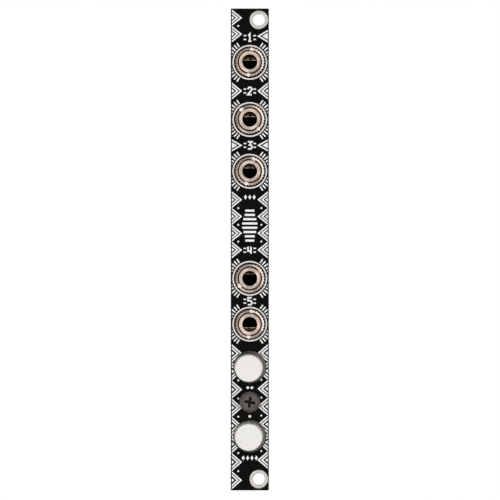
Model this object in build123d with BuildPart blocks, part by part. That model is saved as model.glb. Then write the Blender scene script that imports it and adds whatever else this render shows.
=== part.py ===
from build123d import *

import os
from math import atan, cos, degrees, pi, sin

os.makedirs("parts", exist_ok=True)

# A narrow rack synthesizer module: front panel, five jack sockets, two push buttons and a board behind.
# Millimetres. X runs to the right, Y into the depth behind the panel and Z up. The origin lies on the
# panel's rear face, midway between the two rack-screw holes.

# Front panel
panel_width = 10.16
panel_height = 128.5
panel_thickness = 1.6
panel_corner_radius = 0.3
rack_hole_diameter = 3.2
rack_hole_from_left = 7.5
rack_hole_from_edge = 3.0
ring_diameter = 4.95
plating_thickness = 0.06
panel_clearance = 0.1

# Places down the panel, measured from its top edge
jack_drops = [14.36, 29.6, 43.4, 71.96, 84.16]
tip_end_up = [True, True, True, True, False]
nut_turns = [82, 131, 73, 36, 83]
button_drops = [114.2, 95.87]
button_shift = -0.3
button_hole_rises = [0.1, 0.25]
screw_drop = 104.9

# Board behind the panel, as far back as a jack's housing is high
housing_height = 10.0
board_thickness = 1.6
board_side_margin = 0.3
board_top_margin = 0.1
board_bottom_margin = 1.55
board_corner_radius = 0.5
hole_allowance = 0.1
pin_tail = 1.3

# Jack: threaded bushing
bushing_diameter = 6.0
bushing_length = 4.5
bushing_bore = 3.7
mouth_diameter = 3.95
mouth_depth = 0.45
mouth_radius = 0.1
bushing_edge_radius = 0.3
thread_pitch = 0.5
thread_depth = 0.27
thread_runout = 0.2
thread_root_shares = (0.4, 0.6)
flange_diameter = 8.0
flange_thickness = 0.6
spigot_diameter = 5.0
spigot_length = 1.2
seat_clearance = 0.05

# Jack: housing
housing_width = 9.0
housing_tip_end = 6.0
housing_sleeve_end = 4.5
housing_corner_radius = 0.4
plug_way_diameter = 4.2
chamber_wall = 0.6
slide_clearance = 0.05

# Jack: contact strips
strip_thickness = 0.25
tip_pin_way = 4.92
tip_riser_width = 3.0
tip_spring_width = 3.6
spring_side_gap = 0.3
spring_root_depth = 3.4
bend_radius = 0.55
spring_straight = 1.0
ridge_to_end = 1.45
ridge_height = 0.85
spring_end_gap = 0.75
spring_end_height = 2.4
strip_bend_radius = 0.5
slit_width = 0.3
slit_offset = 0.2
slit_length = 4.2
pin_width = 0.8
pin_shoulder = 0.3
contact_gap = 0.02
switch_pin_way = 3.38
switch_plate_thickness = 0.3
switch_plate_gap = 0.05
switch_arm_depth = 4.4
switch_arm_height = 0.8
switch_tab_inset = 0.3
switch_tab_thickness = 0.3
switch_tab_reach = 1.0
sleeve_thickness = 0.4
sleeve_width = 2.0
sleeve_tab_inset = 1.3
sleeve_pin_width = 1.0

# Knurled ring nut
nut_diameter = 7.85
nut_thickness = 2.0
nut_thread_gap = 0.025
nut_teeth = 30
tooth_depth = 0.24
tooth_shares = (0.0, 0.24, 0.5, 0.74)
nut_chamfer = 0.3
nut_bevel_width = 0.55
nut_bevel_height = 0.3
nut_bore_chamfer = 0.25
notch_width = 1.1
notch_depth = 0.7

# Push button
cap_diameter = 7.7
cap_face_diameter = 7.2
cap_gap = 0.45
cap_protrusion = 3.0
cap_edge_radius = 0.5
cap_wall = 0.8
cap_top = 0.9
cap_skirt_depth = 1.9
button_travel = 1.5
travel_gap = 0.3
button_size = 9.0
button_wall = 0.7
button_lid = 0.8
button_base = 0.8
button_corner_radius = 0.5
plunger_head_length = 2.5
plunger_diameter = 5.0
plunger_bore = 3.9
plunger_clearance = 0.06
plunger_flange_thickness = 0.8
plunger_flange_gap = 0.15
plunger_end_gap = 0.1
coil_wire = 0.3
coil_gap = 0.2
coil_turns = 4.5
bridge_thickness = 0.25
bridge_height = 0.6
bridge_length = 5.8
finger_width = 0.6
finger_length = 1.5
blade_gap = 0.02
led_diameter = 3.0
led_flange_diameter = 3.4
led_flange_height = 0.8
led_height = 4.9
led_lead = 0.45
led_lead_pitch = 2.54

# Screws and standoff
screw_diameter = 3.0
screw_thread_gap = 0.05
screw_length = 6.0
screw_head_diameter = 5.5
screw_head_height = 2.0
screw_head_side = 0.8
screw_crown_diameter = 1.6
screw_end_chamfer = 0.4
recess_length = 3.0
recess_width = 0.8
recess_depth = 1.2
recess_taper = 12
screw_turns = [-9.5, 20]
standoff_across = 5.0

# Power header
header_rows = 5
header_columns = 2
header_pitch = 2.54
header_height = 2.54
header_groove = 0.4
header_drop = 57.0
header_pin = 0.64
header_pin_reach = 6.0
header_tail = 1.6
header_pin_chamfer = 0.15

# Parts on the board's rear
chip_drops = [13.6, 28.85]
chip_length = 4.9
chip_width = 3.9
chip_thickness = 1.45
chip_standoff = 0.1
chip_edge = 0.2
lead_pitch = 1.27
lead_width = 0.4
lead_thickness = 0.2
lead_rise = 0.7
lead_shoulder = 0.35
lead_foot = 0.45
leads_a_side = 4
chip_span = 6.0
small_length = 2.0
small_width = 1.25
resistor_thickness = 0.5
capacitor_thickness = 0.85
small_edge = 0.08
small_column = 2.2
resistor_drops = [21.1, 22.7, 40.2, 41.8, 43.4, 101.1, 109.0]
capacitor_drops = [36.3, 44.95, 94.3, 97.4]
electrolytic_drops = [71.2, 84.9]
electrolytic_diameter = 5.0
electrolytic_height = 5.2
electrolytic_base = 5.3
electrolytic_base_height = 0.8
electrolytic_corner = 1.1
crimp_height = 1.3
crimp_depth = 0.25
crimp_radius = 0.35
can_edge_radius = 0.35
diode_drop = 64.7
diode_length = 2.7
diode_width = 1.6
diode_thickness = 1.1
diode_tab = 0.45
diode_tab_width = 1.0
diode_tab_thickness = 0.2
diode_edge = 0.12

# Solder
solder_height = 0.9
solder_land = 0.4
solder_collar = 0.12

# Overrun for cuts that go right through a face
overrun = 1.0

# Worked out from the sizes above
centre_x = panel_width / 2 - rack_hole_from_left
top_z = panel_height / 2
board_front = housing_height
board_rear = board_front + board_thickness
tail_end = board_rear + pin_tail
board_width = housing_width + 2 * board_side_margin
board_top = jack_drops[0] - housing_tip_end - board_top_margin
board_bottom = button_drops[0] + button_size / 2 + board_bottom_margin
button_hole_drops = [drop - rise for drop, rise in zip(button_drops, button_hole_rises)]
spigot_end = flange_thickness + spigot_length
chamber_front = spigot_end + chamber_wall
chamber_half = tip_spring_width / 2 + spring_side_gap
chamber_end = tip_pin_way + strip_thickness / 2 + slide_clearance
bend_centre = tip_pin_way - bend_radius
spring_end_depth = housing_height - spring_end_gap
ridge_depth = spring_end_depth - ridge_to_end
pin_top = housing_height - pin_shoulder
switch_plate_inner = plug_way_diameter / 2 + switch_plate_gap
switch_plate_outer = switch_plate_inner + switch_plate_thickness
switch_plate_middle = (switch_plate_inner + switch_plate_outer) / 2
sleeve_pin_way = housing_sleeve_end + sleeve_thickness / 2
jack_hole = max(sleeve_pin_width, pin_width) + 2 * hole_allowance
panel_front = -panel_thickness
cap_front = panel_front - cap_protrusion
cap_under = cap_front + cap_top
button_front = cap_skirt_depth + button_travel + travel_gap
floor_depth = housing_height - button_base
flange_front = button_front + button_lid
flange_rear = flange_front + plunger_flange_thickness
plunger_end = floor_depth - button_travel - plunger_end_gap
cavity_size = button_size - 2 * button_wall
plunger_flange_size = cavity_size - 2 * plunger_flange_gap
coil_radius = plunger_diameter / 2 + coil_gap + coil_wire / 2
bridge_drop = plunger_flange_size / 2 - bridge_thickness / 2
finger_across = bridge_length / 2 - finger_width / 2
finger_end = flange_rear + bridge_height + finger_length
blade_top = finger_end + button_travel + blade_gap
blade_hole = finger_width + 2 * hole_allowance
led_hole = led_lead + 2 * hole_allowance + solder_collar
header_hole = header_pin + 2 * hole_allowance + solder_collar
header_top = board_rear + header_height


def layer(depth):
    """A plane parallel to the panel: X to the right, Y down from the panel's top edge."""
    return Plane(origin=(centre_x, depth, top_z), x_dir=(1, 0, 0), z_dir=(0, 1, 0))


def towards_front(drop, depth, shift=0):
    """A plane that faces the viewer, with its origin at a place on the module: X right, Y up."""
    return Plane(origin=(centre_x + shift, depth, top_z - drop), x_dir=(1, 0, 0), z_dir=(0, -1, 0))


def towards_rear(drop, depth, shift=0):
    """A plane that faces the back, with its origin at a place on the module: X right, Y down."""
    return Plane(origin=(centre_x + shift, depth, top_z - drop), x_dir=(1, 0, 0), z_dir=(0, 1, 0))


def jack_frame(drop, tip_up):
    """A jack's axis on the panel's rear face: X across, Y to the tip contact's end, Z into the depth."""
    across = (-1, 0, 0) if tip_up else (1, 0, 0)
    return Plane(origin=(centre_x, 0, top_z - drop), x_dir=across, z_dir=(0, 1, 0))


def jack_side(frame):
    """The lengthwise plane through a jack's axis: X to the tip contact's end, Y into the depth."""
    return Plane(origin=frame.origin, x_dir=frame.y_dir, z_dir=frame.x_dir)


def jack_pins():
    """Each solder pin of a jack: across, towards the tip end, its size across and its size along."""
    return [
        (0, tip_pin_way, pin_width, strip_thickness),
        (switch_plate_middle, -switch_pin_way, switch_plate_thickness, pin_width),
        (0, -sleeve_pin_way, sleeve_pin_width, sleeve_thickness),
    ]


def button_blades():
    """The four corner blades of a button's base, as places across and down."""
    return [(x * finger_across, y * bridge_drop) for x in (-1, 1) for y in (-1, 1)]


def led_leads():
    """The two leads of a button's light."""
    return [(x * led_lead_pitch / 2, 0) for x in (-1, 1)]


def header_places():
    """The power header's pins, as places across and along from its middle."""
    columns = [(column - (header_columns - 1) / 2) * header_pitch for column in range(header_columns)]
    rows = [(row - (header_rows - 1) / 2) * header_pitch for row in range(header_rows)]
    return [(across, along) for across in columns for along in rows]


# Front panel
def make_front_panel():
    with BuildPart() as front_panel:
        with BuildSketch(layer(panel_front)):
            with Locations((0, panel_height / 2)):
                RectangleRounded(panel_width, panel_height, panel_corner_radius)
            with Locations(*[(0, drop) for drop in jack_drops]):
                Circle(bushing_diameter / 2 + panel_clearance, mode=Mode.SUBTRACT)
            with Locations(*[(0, drop) for drop in button_hole_drops]):
                Circle(cap_diameter / 2 + cap_gap, mode=Mode.SUBTRACT)
            with Locations((0, screw_drop)):
                Circle(screw_diameter / 2 + panel_clearance, mode=Mode.SUBTRACT)
            with Locations(*[(-centre_x, drop) for drop in rack_hole_drops()]):
                Circle(rack_hole_diameter / 2 + plating_thickness, mode=Mode.SUBTRACT)
        extrude(amount=panel_thickness)
    front_panel.part.label = "front_panel"
    export_step(front_panel.part, "parts/front_panel.step")


def rack_hole_drops():
    """How far the two rack-screw holes lie below the panel's top edge."""
    return [rack_hole_from_edge, panel_height - rack_hole_from_edge]


# Tinned ring and barrel in each rack-screw hole
def make_rack_hole_rings():
    bore = rack_hole_diameter / 2
    barrel = bore + plating_thickness
    rim = ring_diameter / 2
    front = panel_front - plating_thickness
    with BuildPart() as rack_hole_rings:
        for drop in rack_hole_drops():
            with BuildSketch(Plane(origin=(0, 0, top_z - drop), x_dir=(1, 0, 0), z_dir=(0, 0, 1))):
                with BuildLine():
                    Polyline(
                        (bore, front),
                        (rim, front),
                        (rim, panel_front),
                        (barrel, panel_front),
                        (barrel, 0),
                        (rim, 0),
                        (rim, plating_thickness),
                        (bore, plating_thickness),
                        close=True,
                    )
                make_face()
            revolve(axis=Axis((0, 0, top_z - drop), (0, 1, 0)))
    rack_hole_rings.part.label = "rack_hole_rings"
    export_step(rack_hole_rings.part, "parts/rack_hole_rings.step")


# Jack housing, moulded plastic, open to the board
def make_jack_housing(number, frame):
    with BuildPart() as housing:
        with BuildSketch(frame):
            with Locations((0, (housing_tip_end - housing_sleeve_end) / 2)):
                Rectangle(housing_width, housing_tip_end + housing_sleeve_end)
        extrude(amount=housing_height)
        fillet(housing.edges().filter_by(Axis.Y), radius=housing_corner_radius)
        with BuildSketch(frame):
            Circle(flange_diameter / 2 + seat_clearance)
        extrude(amount=flange_thickness, mode=Mode.SUBTRACT)
        with BuildSketch(frame):
            Circle(spigot_diameter / 2 + seat_clearance)
        extrude(amount=spigot_end, mode=Mode.SUBTRACT)
        with BuildSketch(frame):
            Circle(plug_way_diameter / 2)
        extrude(amount=housing_height, mode=Mode.SUBTRACT)
        with BuildSketch(frame.offset(chamber_front)):
            with Locations((0, chamber_end / 2)):
                Rectangle(2 * chamber_half, chamber_end)
        extrude(amount=housing_height, mode=Mode.SUBTRACT)
        slot_low = -switch_pin_way - pin_width / 2 - slide_clearance
        slot_high = bend_centre - bend_radius
        with BuildSketch(frame.offset(switch_arm_depth - slide_clearance)):
            with Locations((switch_plate_middle, (slot_low + slot_high) / 2)):
                Rectangle(switch_plate_thickness + 2 * slide_clearance, slot_high - slot_low)
        extrude(amount=housing_height, mode=Mode.SUBTRACT)
        with BuildSketch(frame.offset(flange_thickness)):
            with Locations((0, -housing_sleeve_end)):
                Rectangle(sleeve_width + 2 * slide_clearance, 2 * (sleeve_tab_inset + slide_clearance))
        extrude(amount=sleeve_thickness, mode=Mode.SUBTRACT)
    housing.part.label = f"jack_{number}_housing"
    export_step(housing.part, f"parts/jack_{number}_housing.step")


# Threaded bushing, which is also the sleeve contact
def make_jack_bushing(number, frame):
    bore = bushing_bore / 2
    mouth = mouth_diameter / 2
    outside = bushing_diameter / 2
    flange = flange_diameter / 2
    spigot = spigot_diameter / 2
    first_thread = -bushing_length + bushing_edge_radius + thread_runout
    turns = int((-thread_runout - first_thread) / thread_pitch)
    thread = []
    for turn in range(turns):
        start = first_thread + turn * thread_pitch
        thread.append((outside, start))
        for share in thread_root_shares:
            thread.append((outside - thread_depth, start + share * thread_pitch))
    with BuildPart() as bushing:
        with BuildSketch(jack_side(frame)):
            with BuildLine():
                Line((bore, spigot_end), (bore, mouth_depth - bushing_length))
                Line((bore, mouth_depth - bushing_length), (mouth, mouth_radius - bushing_length))
                CenterArc(
                    (mouth + mouth_radius, mouth_radius - bushing_length), mouth_radius, 180, 90
                )
                Line(
                    (mouth + mouth_radius, -bushing_length),
                    (outside - bushing_edge_radius, -bushing_length),
                )
                CenterArc(
                    (outside - bushing_edge_radius, bushing_edge_radius - bushing_length),
                    bushing_edge_radius,
                    270,
                    90,
                )
                Polyline(
                    (outside, bushing_edge_radius - bushing_length),
                    *thread,
                    (outside, first_thread + turns * thread_pitch),
                    (outside, 0),
                    (flange, 0),
                    (flange, flange_thickness),
                    (spigot, flange_thickness),
                    (spigot, spigot_end),
                    (bore, spigot_end),
                )
            make_face()
        revolve(axis=Axis(frame.origin, frame.z_dir))
    bushing.part.label = f"jack_{number}_bushing"
    export_step(bushing.part, f"parts/jack_{number}_bushing.step")


# Fixed terminal that carries the tip spring
def make_jack_tip_terminal(number, frame):
    with BuildPart() as tip_terminal:
        with BuildSketch(frame.offset(spring_root_depth)):
            with Locations((0, tip_pin_way)):
                Rectangle(tip_riser_width, strip_thickness)
        extrude(amount=pin_top - spring_root_depth)
        with BuildSketch(frame.offset(pin_top)):
            with Locations((0, tip_pin_way)):
                Rectangle(pin_width, strip_thickness)
        extrude(amount=tail_end - pin_top)
    tip_terminal.part.label = f"jack_{number}_tip_terminal"
    export_step(tip_terminal.part, f"parts/jack_{number}_tip_terminal.step")


# Forked leaf that presses on the plug's tip
def make_jack_tip_spring(number, frame):
    inner = bend_centre - bend_radius
    ridge = ridge_height + strip_thickness / 2
    side = jack_side(frame)
    with BuildPart() as tip_spring:
        with BuildSketch(side):
            with BuildLine():
                CenterArc((bend_centre, spring_root_depth), bend_radius, 0, -180)
                FilletPolyline(
                    (inner, spring_root_depth),
                    (inner, spring_root_depth + spring_straight),
                    (ridge, ridge_depth),
                    (spring_end_height, spring_end_depth),
                    radius=strip_bend_radius,
                )
            trace(line_width=strip_thickness)
        extrude(amount=tip_spring_width / 2, both=True)
        with BuildSketch(frame.offset(spring_end_depth - slit_length)):
            with Locations((-slit_offset, 0)):
                Rectangle(slit_width, 2 * (inner + strip_thickness))
        extrude(amount=slit_length + overrun, mode=Mode.SUBTRACT)
    tip_spring.part.label = f"jack_{number}_tip_spring"
    export_step(tip_spring.part, f"parts/jack_{number}_tip_spring.step")


# Switch contact, which the tip spring leaves when a plug goes in
def make_jack_switch_contact(number, frame):
    inner = bend_centre - bend_radius
    start = spring_root_depth + spring_straight
    slope = (inner - ridge_height - strip_thickness / 2) / (ridge_depth - start)
    face = strip_thickness / 2 * (1 + slope**2) ** 0.5
    arm_end = switch_arm_depth + switch_arm_height
    tab_front = start + switch_tab_inset
    tab_rear = tab_front + switch_tab_thickness
    low = -switch_pin_way - pin_width / 2
    side = jack_side(frame)

    def touch(depth):
        return inner - slope * (depth - start) - face - contact_gap

    with BuildPart() as switch_contact:
        with BuildSketch(side.offset(switch_plate_inner)):
            with BuildLine():
                Polyline(
                    (low, tail_end),
                    (low, switch_arm_depth),
                    (touch(tab_front), switch_arm_depth),
                    (touch(tab_front), tab_front),
                    (touch(arm_end), arm_end),
                    (low + pin_width, arm_end),
                    (low + pin_width, tail_end),
                    close=True,
                )
            make_face()
        extrude(amount=switch_plate_thickness)
        with BuildSketch(side.offset(switch_plate_inner)):
            with BuildLine():
                Polyline(
                    (touch(tab_front), tab_front),
                    (touch(tab_rear), tab_rear),
                    (touch(tab_rear) - switch_tab_thickness, tab_rear),
                    (touch(tab_front) - switch_tab_thickness, tab_front),
                    close=True,
                )
            make_face()
        extrude(amount=-switch_tab_reach)
    switch_contact.part.label = f"jack_{number}_switch_contact"
    export_step(switch_contact.part, f"parts/jack_{number}_switch_contact.step")


# Sleeve terminal, from the bushing's flange down the housing's end wall
def make_jack_sleeve_contact(number, frame):
    outer = -housing_sleeve_end - sleeve_thickness
    with BuildPart() as sleeve_contact:
        with BuildSketch(jack_side(frame)):
            with BuildLine():
                Polyline(
                    (outer, flange_thickness),
                    (-housing_sleeve_end + sleeve_tab_inset, flange_thickness),
                    (-housing_sleeve_end + sleeve_tab_inset, flange_thickness + sleeve_thickness),
                    (-housing_sleeve_end, flange_thickness + sleeve_thickness),
                    (-housing_sleeve_end, pin_top),
                    (outer, pin_top),
                    close=True,
                )
            make_face()
        extrude(amount=sleeve_width / 2, both=True)
        with BuildSketch(frame.offset(pin_top)):
            with Locations((0, -sleeve_pin_way)):
                Rectangle(sleeve_pin_width, sleeve_thickness)
        extrude(amount=tail_end - pin_top)
    sleeve_contact.part.label = f"jack_{number}_sleeve_contact"
    export_step(sleeve_contact.part, f"parts/jack_{number}_sleeve_contact.step")


# Knurled ring nuts, each stopped at its own angle
def make_jack_nuts():
    outside = nut_diameter / 2
    bore = bushing_diameter / 2 + nut_thread_gap
    outline = []
    for tooth in range(nut_teeth):
        for corner, share in enumerate(tooth_shares):
            angle = 2 * pi * (tooth + share) / nut_teeth
            radius = outside if corner < 2 else outside - tooth_depth
            outline.append((radius * cos(angle), radius * sin(angle)))
    with BuildPart() as nut:
        with BuildSketch():
            with BuildLine():
                Polyline(*outline, close=True)
            make_face()
        extrude(amount=nut_thickness)
        with BuildSketch(Plane.XZ):
            with BuildLine():
                Polyline(
                    (bore, 0),
                    (outside - nut_chamfer, 0),
                    (outside, nut_chamfer),
                    (outside, nut_thickness - nut_bevel_height),
                    (outside - nut_bevel_width, nut_thickness),
                    (bore + nut_bore_chamfer, nut_thickness),
                    (bore, nut_thickness - nut_bore_chamfer),
                    close=True,
                )
            make_face()
        revolve(axis=Axis.Z, mode=Mode.INTERSECT)
        with BuildSketch(Plane.XY.offset(nut_thickness)):
            Rectangle(nut_diameter + overrun, notch_width)
        extrude(amount=-notch_depth, mode=Mode.SUBTRACT)
    places = [
        towards_front(drop, panel_front).location * Rotation(0, 0, turn)
        for drop, turn in zip(jack_drops, nut_turns)
    ]
    with BuildPart() as jack_nuts:
        with Locations(*places):
            add(nut.part)
    jack_nuts.part.label = "jack_nuts"
    export_step(jack_nuts.part, "parts/jack_nuts.step")


# Button cap, translucent white, hollow, with draft from its skirt to its face
def make_button_cap(number, drop):
    length = cap_skirt_depth - cap_front
    draft = degrees(atan((cap_diameter - cap_face_diameter) / 2 / length))
    with BuildPart() as cap:
        with BuildSketch(towards_rear(drop, cap_front, button_shift)):
            Circle(cap_face_diameter / 2)
        extrude(amount=length, taper=-draft)
        fillet(cap.edges().sort_by(Axis.Y)[0], radius=cap_edge_radius)
        with BuildSketch(towards_rear(drop, cap_under, button_shift)):
            Circle(cap_diameter / 2 - cap_wall)
        extrude(amount=cap_skirt_depth - cap_under, mode=Mode.SUBTRACT)
    cap.part.label = f"button_{number}_cap"
    export_step(cap.part, f"parts/button_{number}_cap.step")


# Hollow plunger that the cap is pressed on
def make_button_plunger(number, drop):
    with BuildPart() as plunger:
        with BuildSketch(towards_rear(drop, cap_under, button_shift)):
            Circle(cap_diameter / 2 - cap_wall)
        extrude(amount=plunger_head_length)
        with BuildSketch(towards_rear(drop, cap_under, button_shift)):
            Circle(plunger_diameter / 2)
        extrude(amount=plunger_end - cap_under)
        with BuildSketch(towards_rear(drop, flange_front, button_shift)):
            RectangleRounded(plunger_flange_size, plunger_flange_size, button_corner_radius)
        extrude(amount=plunger_flange_thickness)
        with BuildSketch(towards_rear(drop, cap_under, button_shift)):
            Circle(plunger_bore / 2)
        extrude(amount=plunger_end - cap_under, mode=Mode.SUBTRACT)
    plunger.part.label = f"button_{number}_plunger"
    export_step(plunger.part, f"parts/button_{number}_plunger.step")


# Button housing, a box open to its base, with the plunger's guide in its lid
def make_button_housing(number, drop):
    with BuildPart() as housing:
        with BuildSketch(towards_rear(drop, button_front, button_shift)):
            RectangleRounded(button_size, button_size, button_corner_radius)
            Circle(plunger_diameter / 2 + plunger_clearance, mode=Mode.SUBTRACT)
        extrude(amount=floor_depth - button_front)
        with BuildSketch(towards_rear(drop, flange_front, button_shift)):
            Rectangle(cavity_size, cavity_size)
        extrude(amount=floor_depth - flange_front, mode=Mode.SUBTRACT)
    housing.part.label = f"button_{number}_housing"
    export_step(housing.part, f"parts/button_{number}_housing.step")


# Button base, pierced by the blades and the light's leads
def make_button_base(number, drop):
    with BuildPart() as base:
        with BuildSketch(towards_rear(drop, floor_depth, button_shift)):
            RectangleRounded(button_size, button_size, button_corner_radius)
            with Locations(*button_blades()):
                Rectangle(
                    finger_width + 2 * slide_clearance,
                    bridge_thickness + 2 * slide_clearance,
                    mode=Mode.SUBTRACT,
                )
            with Locations(*led_leads()):
                Rectangle(
                    led_lead + 2 * slide_clearance, led_lead + 2 * slide_clearance, mode=Mode.SUBTRACT
                )
        extrude(amount=button_base)
    base.part.label = f"button_{number}_base"
    export_step(base.part, f"parts/button_{number}_base.step")


# Return spring round the plunger's stem
def make_button_spring(number, drop):
    start = flange_rear + coil_wire / 2 + contact_gap
    length = floor_depth - flange_rear - coil_wire - 2 * contact_gap
    centre = towards_rear(drop, start, button_shift).origin
    with BuildPart() as spring:
        with BuildLine() as coil:
            Helix(length / coil_turns, length, coil_radius, center=centre, direction=(0, 1, 0))
        with BuildSketch(coil.line ^ 0):
            Circle(coil_wire / 2)
        sweep(is_frenet=True)
    spring.part.label = f"button_{number}_spring"
    export_step(spring.part, f"parts/button_{number}_spring.step")


# Blades: two stand up to meet the bridge, two only hold the base
def make_button_terminals(number, drop):
    with BuildPart() as terminals:
        for across, down in button_blades():
            top = blade_top if down > 0 else floor_depth
            with BuildSketch(towards_rear(drop, top, button_shift)):
                with Locations((across, down)):
                    Rectangle(finger_width, bridge_thickness)
            extrude(amount=tail_end - top)
    terminals.part.label = f"button_{number}_terminals"
    export_step(terminals.part, f"parts/button_{number}_terminals.step")


# Bridge under the plunger's flange, which joins the two tall blades when the button is down
def make_button_bridge(number, drop):
    with BuildPart() as bridge:
        with BuildSketch(towards_rear(drop, flange_rear, button_shift)):
            with Locations((0, bridge_drop)):
                Rectangle(bridge_length, bridge_thickness)
        extrude(amount=bridge_height)
        with BuildSketch(towards_rear(drop, flange_rear, button_shift)):
            with Locations((-finger_across, bridge_drop), (finger_across, bridge_drop)):
                Rectangle(finger_width, bridge_thickness)
        extrude(amount=finger_end - flange_rear)
    bridge.part.label = f"button_{number}_bridge"
    export_step(bridge.part, f"parts/button_{number}_bridge.step")


# Light under the cap: lens and two leads
def make_button_light(number, drop):
    radius = led_diameter / 2
    rim = led_flange_diameter / 2
    place = towards_rear(drop, floor_depth, button_shift)
    with BuildPart() as light:
        with BuildSketch(Plane(origin=place.origin, x_dir=(1, 0, 0), z_dir=(0, 0, 1))):
            with BuildLine():
                Polyline(
                    (0, -led_height),
                    (0, 0),
                    (rim, 0),
                    (rim, -led_flange_height),
                    (radius, -led_flange_height),
                    (radius, radius - led_height),
                )
                CenterArc((0, radius - led_height), radius, 270, 90)
            make_face()
        revolve(axis=Axis(place.origin, (0, 1, 0)))
        with BuildSketch(place):
            with Locations(*led_leads()):
                Rectangle(led_lead, led_lead)
        extrude(amount=tail_end - floor_depth)
    light.part.label = f"button_{number}_light"
    export_step(light.part, f"parts/button_{number}_light.step")


# Main board with a hole for every pin
def make_main_board():
    with BuildPart() as main_board:
        with BuildSketch(layer(board_front)):
            with Locations((0, (board_top + board_bottom) / 2)):
                RectangleRounded(board_width, board_bottom - board_top, board_corner_radius)
            with Locations((0, screw_drop)):
                Circle(screw_diameter / 2 + panel_clearance, mode=Mode.SUBTRACT)
            for drop in button_drops:
                with Locations(*[(button_shift + x, drop + y) for x, y in button_blades()]):
                    Circle(blade_hole / 2, mode=Mode.SUBTRACT)
                with Locations(*[(button_shift + x, drop + y) for x, y in led_leads()]):
                    Circle(led_hole / 2, mode=Mode.SUBTRACT)
            with Locations(*[(x, header_drop + y) for x, y in header_places()]):
                Circle(header_hole / 2, mode=Mode.SUBTRACT)
        extrude(amount=board_thickness)
        for drop, tip_up in zip(jack_drops, tip_end_up):
            with BuildSketch(jack_frame(drop, tip_up).offset(board_front)):
                with Locations(*[(across, along) for across, along, wide, deep in jack_pins()]):
                    Circle(jack_hole / 2)
            extrude(amount=board_thickness, mode=Mode.SUBTRACT)
    main_board.part.label = "main_board"
    export_step(main_board.part, "parts/main_board.step")


# Hex standoff between panel and board
def make_standoff():
    with BuildPart() as standoff:
        with BuildSketch(towards_rear(screw_drop, 0)):
            RegularPolygon(standoff_across / 2, 6, major_radius=False)
            Circle(screw_diameter / 2 + screw_thread_gap, mode=Mode.SUBTRACT)
        extrude(amount=board_front)
    standoff.part.label = "standoff"
    export_step(standoff.part, "parts/standoff.step")


# The two alike pan-head screws that hold the standoff, from the panel and from the board
def make_standoff_screws():
    rim = screw_head_diameter / 2
    shank = screw_diameter / 2
    crown = screw_crown_diameter / 2
    with BuildPart() as screw:
        with BuildSketch(Plane.XZ):
            with BuildLine():
                Polyline(
                    (crown, screw_head_height),
                    (0, screw_head_height),
                    (0, -screw_length),
                    (shank - screw_end_chamfer, -screw_length),
                    (shank, screw_end_chamfer - screw_length),
                    (shank, 0),
                    (rim, 0),
                    (rim, screw_head_side),
                )
                TangentArc((crown, screw_head_height), (rim, screw_head_side), tangent=(1, 0))
            make_face()
        revolve(axis=Axis.Z)
        with BuildSketch(Plane.XY.offset(screw_head_height)):
            Rectangle(recess_length, recess_width)
            Rectangle(recess_width, recess_length)
        extrude(amount=-recess_depth, taper=recess_taper, mode=Mode.SUBTRACT)
    faces = [towards_front(screw_drop, panel_front), towards_rear(screw_drop, board_rear)]
    places = [face.location * Rotation(0, 0, turn) for face, turn in zip(faces, screw_turns)]
    with BuildPart() as standoff_screws:
        with Locations(*places):
            add(screw.part)
    standoff_screws.part.label = "standoff_screws"
    export_step(standoff_screws.part, "parts/standoff_screws.step")


# Power header: plastic block with a groove between each two rows of pins
def make_power_header_block():
    width = header_columns * header_pitch
    length = header_rows * header_pitch
    with BuildPart() as power_header_block:
        with BuildSketch(towards_rear(header_drop, board_rear)):
            Rectangle(width, length)
            for side in (-1, 1):
                with Locations((side * width / 2, 0)):
                    with GridLocations(0, header_pitch, 1, header_rows + 1):
                        Rectangle(header_groove, header_groove, rotation=45, mode=Mode.SUBTRACT)
            with Locations(*header_places()):
                Rectangle(header_pin, header_pin, mode=Mode.SUBTRACT)
        extrude(amount=header_height)
    power_header_block.part.label = "power_header_block"
    export_step(power_header_block.part, "parts/power_header_block.step")


# Power header pins, through the block and the board
def make_power_header_pins():
    start = board_front - header_tail
    end = header_top + header_pin_reach
    with BuildPart() as power_header_pins:
        with BuildSketch(towards_rear(header_drop, start)):
            with Locations(*header_places()):
                Rectangle(header_pin, header_pin)
        extrude(amount=end - start)
        tips = power_header_pins.faces().filter_by(Axis.Y)
        chamfer(tips.edges(), length=header_pin_chamfer)
    power_header_pins.part.label = "power_header_pins"
    export_step(power_header_pins.part, "parts/power_header_pins.step")


def lead_planes():
    """The plane of each bent lead of the op-amps: X away from the chip's middle, Y into the depth."""
    planes = []
    for drop in chip_drops:
        for row in range(leads_a_side):
            height = top_z - drop - (row - (leads_a_side - 1) / 2) * lead_pitch
            for side in (-1, 1):
                planes.append(Plane(origin=(centre_x, 0, height), x_dir=(side, 0, 0), z_dir=(0, 0, side)))
    return planes


# Op-amps: moulded bodies, each with bent leads down both sides
def make_op_amps():
    half = chip_width / 2
    foot = board_rear + lead_thickness / 2
    span = chip_span / 2
    with BuildPart() as op_amps:
        with BuildSketch(layer(board_rear + chip_standoff)):
            with Locations(*[(0, drop) for drop in chip_drops]):
                Rectangle(chip_width, chip_length)
        extrude(amount=chip_thickness)
        chamfer(op_amps.faces().group_by(Axis.Y)[-1].edges(), length=chip_edge)
        with BuildSketch(*lead_planes()):
            with BuildLine():
                Polyline(
                    (half, foot + lead_rise),
                    (half + lead_shoulder, foot + lead_rise),
                    (span - lead_foot, foot),
                    (span, foot),
                )
            trace(line_width=lead_thickness)
        extrude(amount=lead_width / 2, both=True)
    op_amps.part.label = "op_amps"
    export_step(op_amps.part, "parts/op_amps.step")


def board_pairs(drops):
    """Places in two columns on the board's rear, at each of the given drops."""
    return [(side * small_column, drop) for drop in drops for side in (-1, 1)]


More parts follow.
